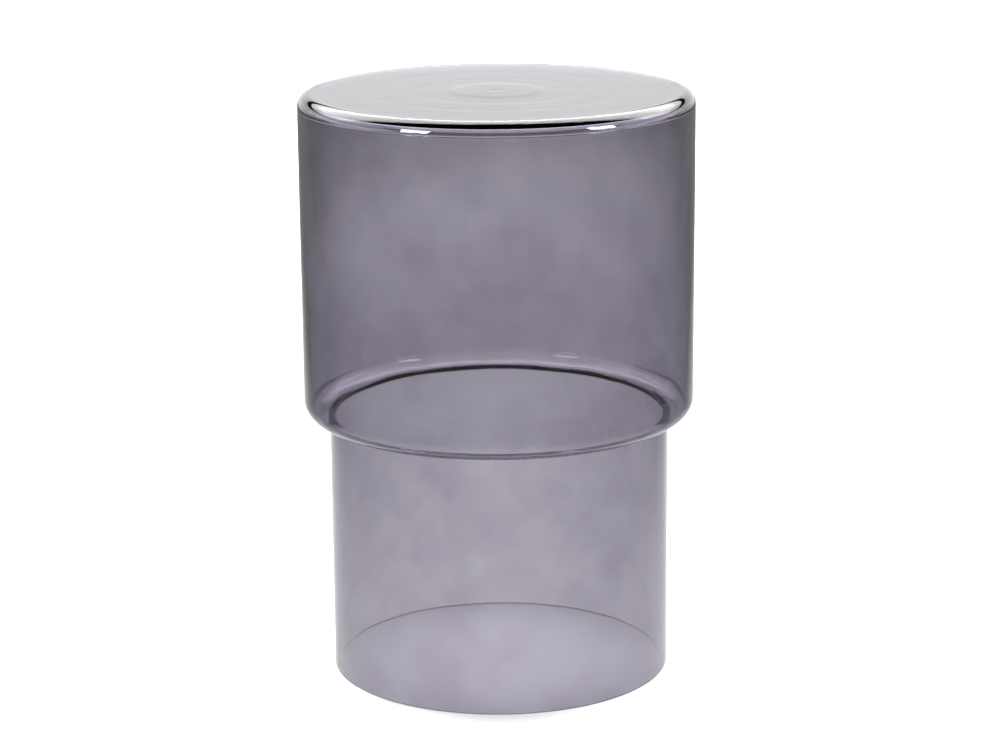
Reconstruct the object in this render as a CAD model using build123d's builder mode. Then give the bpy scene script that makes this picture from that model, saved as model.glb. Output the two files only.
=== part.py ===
from build123d import *
import os

# A stepped cylinder of smoked glass, standing on its open rim with its closed end up.
# It is two blown glass pieces, joined end to end: a wide drum, closed at the top, and a
# narrower cylinder, open at the bottom, whose upper end is fused to the drum's underside.
# Millimetres. The origin is the centre of the circle that the rim stands on, and +Z is up
# along the axis that both pieces share.

# Overall form
TOTAL_HEIGHT = 450.0
DRUM_RADIUS = 150.0
CYLINDER_RADIUS = 130.4
JOINT_HEIGHT = 200.0

# Drum: the outside edges
TOP_EDGE_RADIUS = 10.0
SHOULDER_EDGE_RADIUS = 14.4

# Drum: the closed end is the thickest glass. The wall is thinnest under the top edge,
# where the glass stretched most, and thickens downward to the shoulder
TOP_THICKNESS = 6.6
WALL_THICKNESS_AT_TOP = 3.4
WALL_THICKNESS_AT_SHOULDER = 5.0
SHOULDER_THICKNESS = 3.3
SHOULDER_INNER_RADIUS = 8.4
MOUTH_LIP_RADIUS = 1.0

# Drum: inside, the wall meets the closed end in a slanted corner
TOP_SLANT_WIDTH = 3.0
TOP_SLANT_HEIGHT = 4.1
TOP_SLANT_LOWER_RADIUS = 3.3
TOP_SLANT_UPPER_RADIUS = 1.0

# Drum: the mark that the blowing iron leaves at the centre of the closed end
PONTIL_RADIUS = 7.0
PONTIL_DEPTH = 0.5

# Cylinder
CYLINDER_THICKNESS = 3.2
RIM_EDGE_RADIUS = 1.0
JOINT_BEAD_WIDTH = 1.9
JOINT_BEAD_LAND = 0.4
JOINT_BEAD_RADIUS = 1.6

MOUTH_RADIUS = CYLINDER_RADIUS - CYLINDER_THICKNESS


def closed_drum_outline():
    """Half section of the drum's wall, as points (radius, height) with a corner radius each."""
    ledge_height = JOINT_HEIGHT + SHOULDER_THICKNESS
    ceiling_height = TOTAL_HEIGHT - TOP_THICKNESS
    inside_at_shoulder = DRUM_RADIUS - WALL_THICKNESS_AT_SHOULDER
    inside_at_top = DRUM_RADIUS - WALL_THICKNESS_AT_TOP
    return [
        ((0, TOTAL_HEIGHT), 0),
        ((DRUM_RADIUS, TOTAL_HEIGHT), TOP_EDGE_RADIUS),
        ((DRUM_RADIUS, JOINT_HEIGHT), SHOULDER_EDGE_RADIUS),
        ((MOUTH_RADIUS, JOINT_HEIGHT), 0),
        ((MOUTH_RADIUS, ledge_height), MOUTH_LIP_RADIUS),
        ((inside_at_shoulder, ledge_height), SHOULDER_INNER_RADIUS),
        ((inside_at_top, ceiling_height - TOP_SLANT_HEIGHT), TOP_SLANT_LOWER_RADIUS),
        ((inside_at_top - TOP_SLANT_WIDTH, ceiling_height), TOP_SLANT_UPPER_RADIUS),
        ((0, ceiling_height), 0),
    ]


def open_cylinder_outline():
    """Half section of the cylinder's wall, with the bead that spreads under the drum."""
    bead_radius = CYLINDER_RADIUS + JOINT_BEAD_WIDTH
    bead_height = JOINT_HEIGHT - JOINT_BEAD_LAND
    return [
        ((MOUTH_RADIUS, 0), RIM_EDGE_RADIUS),
        ((CYLINDER_RADIUS, 0), RIM_EDGE_RADIUS),
        ((CYLINDER_RADIUS, bead_height), JOINT_BEAD_RADIUS),
        ((bead_radius, bead_height), 0),
        ((bead_radius, JOINT_HEIGHT), 0),
        ((MOUTH_RADIUS, JOINT_HEIGHT), 0),
    ]


drum_outline = closed_drum_outline()
with BuildPart() as closed_drum:
    with BuildSketch(Plane.XZ):
        with BuildLine():
            FilletPolyline(
                [point for point, _ in drum_outline],
                radius=[corner for _, corner in drum_outline],
                close=True,
            )
        make_face()
    revolve(axis=Axis.Z)
    # The pontil mark is a shallow round dish, cut with a large ball
    ball_radius = (PONTIL_RADIUS**2 + PONTIL_DEPTH**2) / (2 * PONTIL_DEPTH)
    with Locations((0, 0, TOTAL_HEIGHT - PONTIL_DEPTH + ball_radius)):
        Sphere(ball_radius, mode=Mode.SUBTRACT)

cylinder_outline = open_cylinder_outline()
with BuildPart() as open_cylinder:
    with BuildSketch(Plane.XZ):
        with BuildLine():
            FilletPolyline(
                [point for point, _ in cylinder_outline],
                radius=[corner for _, corner in cylinder_outline],
                close=True,
            )
        make_face()
    revolve(axis=Axis.Z)

closed_drum.part.label = "closed_drum"
open_cylinder.part.label = "open_cylinder"

os.makedirs("parts", exist_ok=True)
export_step(closed_drum.part, "parts/closed_drum.step")
export_step(open_cylinder.part, "parts/open_cylinder.step")
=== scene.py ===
import math

import bmesh
import bpy
from mathutils import Matrix, Quaternion, Vector, noise

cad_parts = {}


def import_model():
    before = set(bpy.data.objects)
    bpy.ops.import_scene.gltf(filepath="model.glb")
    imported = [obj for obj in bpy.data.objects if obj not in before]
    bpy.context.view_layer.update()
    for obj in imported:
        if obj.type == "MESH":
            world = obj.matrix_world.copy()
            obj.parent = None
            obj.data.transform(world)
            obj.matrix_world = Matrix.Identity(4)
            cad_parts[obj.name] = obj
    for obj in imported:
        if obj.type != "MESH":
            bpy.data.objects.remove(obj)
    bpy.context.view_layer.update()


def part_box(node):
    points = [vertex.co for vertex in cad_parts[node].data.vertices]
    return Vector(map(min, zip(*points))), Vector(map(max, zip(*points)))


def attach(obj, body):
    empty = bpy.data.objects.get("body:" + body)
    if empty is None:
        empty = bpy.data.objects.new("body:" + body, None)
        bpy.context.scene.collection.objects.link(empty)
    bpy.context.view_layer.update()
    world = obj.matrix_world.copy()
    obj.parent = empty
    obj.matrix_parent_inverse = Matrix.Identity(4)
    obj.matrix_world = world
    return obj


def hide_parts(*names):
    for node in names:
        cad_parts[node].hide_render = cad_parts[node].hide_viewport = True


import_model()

MM = 0.001

# ---- sizes: the heights from the CAD nodes' boxes, the rest as in the CAD -------------------
TOTAL_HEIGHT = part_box("closed_drum")[1][2]
JOINT_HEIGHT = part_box("open_cylinder")[1][2]
DRUM_RADIUS = 150 * MM
CYLINDER_RADIUS = 130.4 * MM
CYLINDER_THICKNESS = 3.2 * MM
MOUTH_RADIUS = CYLINDER_RADIUS - CYLINDER_THICKNESS
LEDGE_HEIGHT = JOINT_HEIGHT + 3.3 * MM
CEILING_HEIGHT = TOTAL_HEIGHT - 6.6 * MM
INSIDE_AT_SHOULDER = DRUM_RADIUS - 5.0 * MM
INSIDE_AT_TOP = DRUM_RADIUS - 3.4 * MM
JOINT_GAP = 0.02 * MM
TOP_OF_CYLINDER = JOINT_HEIGHT - JOINT_GAP

# ---- edges and corners, as in the CAD -------------------------------------------------------
TOP_EDGE_RADIUS = 10.0 * MM
SHOULDER_EDGE_RADIUS = 14.4 * MM
SHOULDER_INNER_RADIUS = 8.4 * MM
MOUTH_LIP_RADIUS = 1.0 * MM
TOP_SLANT_WIDTH = 3.0 * MM
TOP_SLANT_HEIGHT = 4.1 * MM
TOP_SLANT_LOWER_RADIUS = 3.3 * MM
TOP_SLANT_UPPER_RADIUS = 1.0 * MM
RIM_EDGE_RADIUS = 1.0 * MM
JOINT_BEAD_WIDTH = 1.9 * MM
JOINT_BEAD_LAND = 0.4 * MM
JOINT_BEAD_RADIUS = 1.6 * MM
SHARP_EDGE_RADIUS = 0.2 * MM

# ---- mesh density ---------------------------------------------------------------------------
SEGMENTS = 288
ARC_STEPS = 12
LINE_STEP = 5 * MM
TOP_STEP = 2 * MM


# ---- turned profiles ------------------------------------------------------------------------
def rounded(corners):
    """A dense outline of (radius, height) points from corners of (radius, height, rounding)."""
    points = []
    for i, (r, z, rounding) in enumerate(corners):
        here = Vector((r, z))
        if rounding == 0:
            points.append(here)
            continue
        before = (Vector(corners[i - 1][:2]) - here).normalized()
        after = (Vector(corners[(i + 1) % len(corners)][:2]) - here).normalized()
        half_turn = before.angle(after) / 2
        start = here + before * rounding / math.tan(half_turn)
        end = here + after * rounding / math.tan(half_turn)
        centre = here + (before + after).normalized() * rounding / math.sin(half_turn)
        sweep = (start - centre).angle_signed(end - centre)
        for k in range(ARC_STEPS + 1):
            turn = Matrix.Rotation(-sweep * k / ARC_STEPS, 2)
            points.append(centre + turn @ (start - centre))
    return points


def subdivided(points, closed):
    """The outline with its long straight stretches divided into short steps."""
    dense = []
    ends = points[1:] + points[:1] if closed else points[1:]
    for a, b in zip(points, ends):
        on_top = a.y > TOTAL_HEIGHT - 1 * MM and b.y > TOTAL_HEIGHT - 1 * MM
        pieces = max(1, round((b - a).length / (TOP_STEP if on_top else LINE_STEP)))
        dense += [a.lerp(b, k / pieces) for k in range(pieces)]
    return dense if closed else dense + [points[-1]]


def lathe(name, outline, closed, shaped):
    """A turned piece. shaped(point) gives the place of each point of the true turned form."""
    mesh = bmesh.new()
    rings = []
    for r, z in outline:
        if r < 1e-9:
            rings.append([mesh.verts.new(shaped(Vector((0, 0, z))))])
            continue
        ring = []
        for k in range(SEGMENTS):
            turn = 2 * math.pi * k / SEGMENTS
            ring.append(mesh.verts.new(shaped(Vector((r * math.cos(turn), r * math.sin(turn), z)))))
        rings.append(ring)
    for a, b in zip(rings, rings[1:] + (rings[:1] if closed else [])):
        for k in range(SEGMENTS):
            n = (k + 1) % SEGMENTS
            corners = [a[k % len(a)], a[n % len(a)], b[n % len(b)], b[k % len(b)]]
            mesh.faces.new(list(dict.fromkeys(corners)))
    bmesh.ops.recalc_face_normals(mesh, faces=mesh.faces)
    data = bpy.data.meshes.new(name)
    mesh.to_mesh(data)
    mesh.free()
    data.shade_smooth()
    piece = bpy.data.objects.new(name, data)
    bpy.context.scene.collection.objects.link(piece)
    return piece


def smooth(low, high, value):
    """0 below low, 1 above high and a smooth change between."""
    t = min(1, max(0, (value - low) / (high - low)))
    return t * t * (3 - 2 * t)


# The raised middle stands this far above the closed end's flat face. The whole face is let down
# by as much, so that the middle stays inside the CAD model's box
MIDDLE_RISE = 0.22 * MM


def blown_drum(point):
    """The drum's small unevenness: rings and a raised middle on top, an inner wall of uneven depth."""
    r = math.hypot(point.x, point.y)
    if point.z > TOTAL_HEIGHT - 1 * MM and r < DRUM_RADIUS - 11 * MM:
        middle = MIDDLE_RISE * (1 - smooth(30 * MM, 38 * MM, r))
        dish = -MIDDLE_RISE * (1 - smooth(0, 8 * MM, r))
        fade = 1 - smooth(110 * MM, 135 * MM, r)
        fine_rings = 0.011 * MM * math.sin(r / (2.6 * MM)) * fade
        wide_rings = 0.016 * MM * math.sin(r / (5.3 * MM)) * fade
        rise = middle + dish + fine_rings + wide_rings - MIDDLE_RISE
        return point + Vector((0, 0, rise))
    if r < DRUM_RADIUS - 2 * MM and LEDGE_HEIGHT + 1 * MM < point.z < CEILING_HEIGHT - 5 * MM:
        out = Vector((point.x, point.y, 0)).normalized()
        fade = smooth(LEDGE_HEIGHT, LEDGE_HEIGHT + 30 * MM, point.z) * (
            1 - smooth(CEILING_HEIGHT - 35 * MM, CEILING_HEIGHT - 5 * MM, point.z)
        )
        cloud = noise.noise(point * 14) * 0.20 * MM + noise.noise(point * 38) * 0.08 * MM
        return point + out * cloud * fade
    return point


def blown_cylinder(point):
    """The cylinder's inner wall, drawn into long upright waves as the glass was pulled down."""
    r = math.hypot(point.x, point.y)
    if r > CYLINDER_RADIUS - 1 * MM:
        return point
    out = Vector((point.x, point.y, 0)).normalized()
    fade = smooth(2 * MM, 20 * MM, point.z)
    fade *= 1 - smooth(JOINT_HEIGHT - 20 * MM, JOINT_HEIGHT - 2 * MM, point.z)
    drawn = noise.noise(Vector((point.x * 30, point.y * 30, point.z * 5)))
    return point + out * drawn * 0.12 * MM * fade


# ---- shader node helpers --------------------------------------------------------------------
def math_node(nodes, links, operation, *values):
    """A sum, product or the like of numbers and other nodes' outputs."""
    node = nodes.new("ShaderNodeMath")
    node.operation = operation
    for socket, value in zip(node.inputs, values):
        if isinstance(value, (int, float)):
            socket.default_value = value
        else:
            links.new(value, socket)
    return node.outputs[0]


def ramp(nodes, links, value, low, high, at_low, at_high):
    """A smooth change from at_low to at_high while value goes from low to high."""
    node = nodes.new("ShaderNodeMapRange")
    node.interpolation_type = "SMOOTHSTEP"
    for name, number in (("From Min", low), ("From Max", high), ("To Min", at_low), ("To Max", at_high)):
        node.inputs[name].default_value = number
    links.new(value, node.inputs["Value"])
    return node.outputs[0]


def length_of(nodes, links, vector):
    """The length of a vector."""
    node = nodes.new("ShaderNodeVectorMath")
    node.operation = "LENGTH"
    links.new(vector, node.inputs[0])
    return node.outputs["Value"]


# ---- glass ----------------------------------------------------------------------------------
TINT_COLOUR = (0.115, 0.061, 0.209, 1)
TINT_DENSITY = 158
HAZE_COLOUR = (0.89, 0.88, 0.90, 1)


def smoked_glass():
    """Clear glass with a violet-grey tint through its thickness."""
    material = bpy.data.materials.new("smoked_glass")
    material.use_nodes = True
    nodes, links = material.node_tree.nodes, material.node_tree.links
    glass = nodes["Principled BSDF"]
    glass.inputs["IOR"].default_value = 1.5
    glass.inputs["Transmission Weight"].default_value = 1.0
    where = nodes.new("ShaderNodeTexCoord")

    def cloud(scale, detail, stretch=(1, 1, 1)):
        """Soft noise fixed to the glass."""
        place = nodes.new("ShaderNodeMapping")
        place.inputs["Scale"].default_value = stretch
        links.new(where.outputs["Object"], place.inputs["Vector"])
        spots = nodes.new("ShaderNodeTexNoise")
        spots.inputs["Scale"].default_value = scale
        spots.inputs["Detail"].default_value = detail
        links.new(place.outputs["Vector"], spots.inputs["Vector"])
        return spots.outputs["Fac"]

    haze = nodes.new("ShaderNodeMix")
    haze.data_type = "RGBA"
    haze.inputs["A"].default_value = HAZE_COLOUR
    haze.inputs["B"].default_value = (1, 1, 1, 1)
    links.new(ramp(nodes, links, cloud(16, 3), 0.30, 0.62, 0.0, 1.0), haze.inputs["Factor"])
    links.new(haze.outputs["Result"], glass.inputs["Base Color"])
    links.new(ramp(nodes, links, cloud(40, 2), 0.45, 0.75, 0.0, 0.02), glass.inputs["Roughness"])
    bump = nodes.new("ShaderNodeBump")
    bump.inputs["Strength"].default_value = 0.25
    bump.inputs["Distance"].default_value = 0.4 * MM
    links.new(cloud(30, 1, (1, 1, 0.25)), bump.inputs["Height"])
    links.new(bump.outputs["Normal"], glass.inputs["Normal"])
    tint = nodes.new("ShaderNodeVolumeAbsorption")
    tint.inputs["Color"].default_value = TINT_COLOUR
    tint.inputs["Density"].default_value = TINT_DENSITY
    links.new(tint.outputs[0], nodes["Material Output"].inputs["Volume"])
    return material


glass = smoked_glass()

drum_outline = subdivided(
    rounded([
        (0, TOTAL_HEIGHT, 0),
        (DRUM_RADIUS, TOTAL_HEIGHT, TOP_EDGE_RADIUS),
        (DRUM_RADIUS, JOINT_HEIGHT, SHOULDER_EDGE_RADIUS),
        (MOUTH_RADIUS, JOINT_HEIGHT, SHARP_EDGE_RADIUS),
        (MOUTH_RADIUS, LEDGE_HEIGHT, MOUTH_LIP_RADIUS),
        (INSIDE_AT_SHOULDER, LEDGE_HEIGHT, SHOULDER_INNER_RADIUS),
        (INSIDE_AT_TOP, CEILING_HEIGHT - TOP_SLANT_HEIGHT, TOP_SLANT_LOWER_RADIUS),
        (INSIDE_AT_TOP - TOP_SLANT_WIDTH, CEILING_HEIGHT, TOP_SLANT_UPPER_RADIUS),
        (0, CEILING_HEIGHT, 0),
    ]),
    closed=False,
)
drum = lathe("drum_glass", drum_outline, False, blown_drum)
drum.data.materials.append(glass)
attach(drum, "root")
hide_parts("closed_drum")

cylinder_outline = subdivided(
    rounded([
        (MOUTH_RADIUS, 0, RIM_EDGE_RADIUS),
        (CYLINDER_RADIUS, 0, RIM_EDGE_RADIUS),
        (CYLINDER_RADIUS, TOP_OF_CYLINDER - JOINT_BEAD_LAND, JOINT_BEAD_RADIUS),
        (CYLINDER_RADIUS + JOINT_BEAD_WIDTH, TOP_OF_CYLINDER - JOINT_BEAD_LAND, SHARP_EDGE_RADIUS / 2),
        (CYLINDER_RADIUS + JOINT_BEAD_WIDTH, TOP_OF_CYLINDER, SHARP_EDGE_RADIUS / 2),
        (MOUTH_RADIUS, TOP_OF_CYLINDER, SHARP_EDGE_RADIUS),
    ]),
    closed=True,
)
cylinder = lathe("cylinder_glass", cylinder_outline, True, blown_cylinder)
cylinder.data.materials.append(glass)
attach(cylinder, "root")
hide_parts("open_cylinder")


# ---- studio ---------------------------------------------------------------------------------
FLOOR_REACH = 12.0


def sheet(name, height):
    """A great square sheet lying at a height, with a new material of its own."""
    data = bpy.data.meshes.new(name)
    corners = [(-1, -1), (1, -1), (1, 1), (-1, 1)]
    places = [(x * FLOOR_REACH, y * FLOOR_REACH, height) for x, y in corners]
    data.from_pydata(places, [], [(0, 1, 2, 3)])
    piece = bpy.data.objects.new(name, data)
    bpy.context.scene.collection.objects.link(piece)
    material = bpy.data.materials.new(name)
    material.use_nodes = True
    data.materials.append(material)
    return piece, material.node_tree.nodes, material.node_tree.links


def floor():
    """The plain pale floor, a little brighter far off."""
    piece, nodes, links = sheet("floor", 0)
    paint = nodes["Principled BSDF"]
    paint.inputs["Base Color"].default_value = (0.8, 0.8, 0.8, 1)
    paint.inputs["Roughness"].default_value = 0.9
    paint.inputs["Specular IOR Level"].default_value = 0.0
    paint.inputs["Emission Color"].default_value = (1, 1, 1, 1)
    where = nodes.new("ShaderNodeTexCoord")
    distance = length_of(nodes, links, where.outputs["Object"])
    glow = ramp(nodes, links, distance, 0.3, 3.5, 0.05, 0.1)
    links.new(glow, paint.inputs["Emission Strength"])


# The pool's centre lies this far behind the vase's axis. Its light begins to fall at half of the
# length and width from the centre, and is down to the dim floor's at one and a half times them
POOL_CENTRE = 0.9
POOL_LENGTH = 1.5
POOL_WIDTH = 0.5
POOL_HEIGHT = 0.5 * MM


def light_pool():
    """A soft oval pool of light on the floor behind the vase.

    Only the glass sees it, so the floor seen through the glass is dimmer than the floor beside it.
    """
    piece, nodes, links = sheet("light_pool", POOL_HEIGHT)
    nodes.remove(nodes["Principled BSDF"])
    where = nodes.new("ShaderNodeTexCoord")
    distance = length_of(nodes, links, where.outputs["Object"])
    oval = nodes.new("ShaderNodeMapping")
    oval.inputs["Location"].default_value = (0, -POOL_CENTRE / POOL_LENGTH, 0)
    oval.inputs["Scale"].default_value = (1 / POOL_WIDTH, 1 / POOL_LENGTH, 1)
    links.new(where.outputs["Object"], oval.inputs["Vector"])
    from_centre = length_of(nodes, links, oval.outputs["Vector"])
    near = ramp(nodes, links, from_centre, 0.5, 1.5, 1.05, 0.3)
    horizon = ramp(nodes, links, distance, 4.5, 9.5, 0.0, 0.9)
    falloff = math_node(nodes, links, "ADD", near, horizon)
    # painted contact shadow: a dark ring where the rim stands on the floor
    rim_inside, rim_outside = CYLINDER_RADIUS - 1 * MM, CYLINDER_RADIUS + 1.5 * MM
    rim_contact_shadow = ramp(nodes, links, distance, rim_inside, rim_outside, 0.3, 1.0)
    glow = nodes.new("ShaderNodeEmission")
    links.new(math_node(nodes, links, "MULTIPLY", falloff, rim_contact_shadow), glow.inputs["Strength"])
    # inside the cylinder the glass sees the real floor
    clear = nodes.new("ShaderNodeBsdfTransparent")
    mix = nodes.new("ShaderNodeMixShader")
    outside = ramp(nodes, links, distance, MOUTH_RADIUS - 0.5 * MM, MOUTH_RADIUS, 0.0, 1.0)
    links.new(outside, mix.inputs[0])
    links.new(clear.outputs[0], mix.inputs[1])
    links.new(glow.outputs[0], mix.inputs[2])
    links.new(mix.outputs[0], nodes["Material Output"].inputs["Surface"])
    piece.visible_camera = False
    piece.visible_diffuse = False
    piece.visible_shadow = False


SOFTBOX_TARGET = (0, 0, 0.4)
SOFTBOX_WIDTH = 0.65
SOFTBOX_HEIGHT = 0.75
SOFTBOX_POWER = 42


def softbox(name, place):
    """One of the two softboxes that stand in front, where the photograph's highlights need them."""
    data = bpy.data.lights.new(name, "AREA")
    data.shape = "RECTANGLE"
    data.size = SOFTBOX_WIDTH
    data.size_y = SOFTBOX_HEIGHT
    data.energy = SOFTBOX_POWER
    lamp = bpy.data.objects.new(name, data)
    lamp.location = place
    aim = Vector(SOFTBOX_TARGET) - Vector(place)
    lamp.rotation_euler = aim.to_track_quat("-Z", "Y").to_euler()
    bpy.context.scene.collection.objects.link(lamp)


def world():
    """A pale backdrop low down all round, a dark gap, and a bright sheet behind and above.

    The gap and the sheet's height and strength are set so that the closed end and the lines along
    its front come out as in the photograph. Heights are sines of the angle above the horizon.
    """
    room = bpy.data.worlds.new("studio")
    room.use_nodes = True
    nodes, links = room.node_tree.nodes, room.node_tree.links
    where = nodes.new("ShaderNodeTexCoord")
    split = nodes.new("ShaderNodeSeparateXYZ")
    links.new(where.outputs["Generated"], split.inputs[0])
    height, depth = split.outputs["Z"], split.outputs["Y"]

    def product(*values):
        """The numbers or nodes' outputs multiplied together."""
        result = values[0]
        for value in values[1:]:
            result = math_node(nodes, links, "MULTIPLY", result, value)
        return result

    behind = ramp(nodes, links, depth, 0.05, 0.25, 0.0, 1.0)
    not_in_front = ramp(nodes, links, depth, -0.6, -0.2, 0.5, 1.0)
    backdrop = ramp(nodes, links, height, 0.262, 0.275, 1.0, 0.02)
    brighter_behind = math_node(nodes, links, "MULTIPLY_ADD", behind, 0.38, 1.0)
    low = product(backdrop, not_in_front, brighter_behind)
    above_gap = ramp(nodes, links, height, 0.325, 0.345, 0.0, 1.0)
    below_ceiling = ramp(nodes, links, height, 0.980, 0.994, 1.0, 0.0)
    rising = ramp(nodes, links, height, 0.345, 0.51, 2.8, 7.9)
    high = product(above_gap, below_ceiling, behind, rising)
    both = math_node(nodes, links, "MAXIMUM", low, high)
    links.new(both, nodes["Background"].inputs["Strength"])
    nodes["Background"].inputs["Color"].default_value = (1, 1, 1, 1)
    bpy.context.scene.world = room


# The photograph's camera, fitted to the vase's outline
CAMERA_PLACE = (0, -2.1603, 0.7819)
CAMERA_TILT_DOWN = 14.36
CAMERA_ROLL = -0.467
CAMERA_LENS = 104.12
CAMERA_SHIFT = 0.0014


def camera():
    """A camera at the photograph's viewing angle."""
    data = bpy.data.cameras.new("camera")
    data.sensor_width = 36
    data.lens = CAMERA_LENS
    data.shift_x = CAMERA_SHIFT
    eye = bpy.data.objects.new("camera", data)
    eye.location = CAMERA_PLACE
    tilt = Quaternion((1, 0, 0), math.radians(90 - CAMERA_TILT_DOWN))
    roll = Quaternion((0, 0, 1), math.radians(CAMERA_ROLL))
    eye.rotation_euler = (tilt @ roll).to_euler()
    bpy.context.scene.collection.objects.link(eye)
    bpy.context.scene.camera = eye


floor()
light_pool()
world()
softbox("softbox_left", (-1.55, -1.5, 0.92))
softbox("softbox_right", (1.88, -1.02, 1.02))
camera()
bpy.context.scene.view_settings.view_transform = "Standard"
bpy.context.scene.cycles.transmission_bounces = 24
bpy.context.scene.cycles.max_bounces = 24
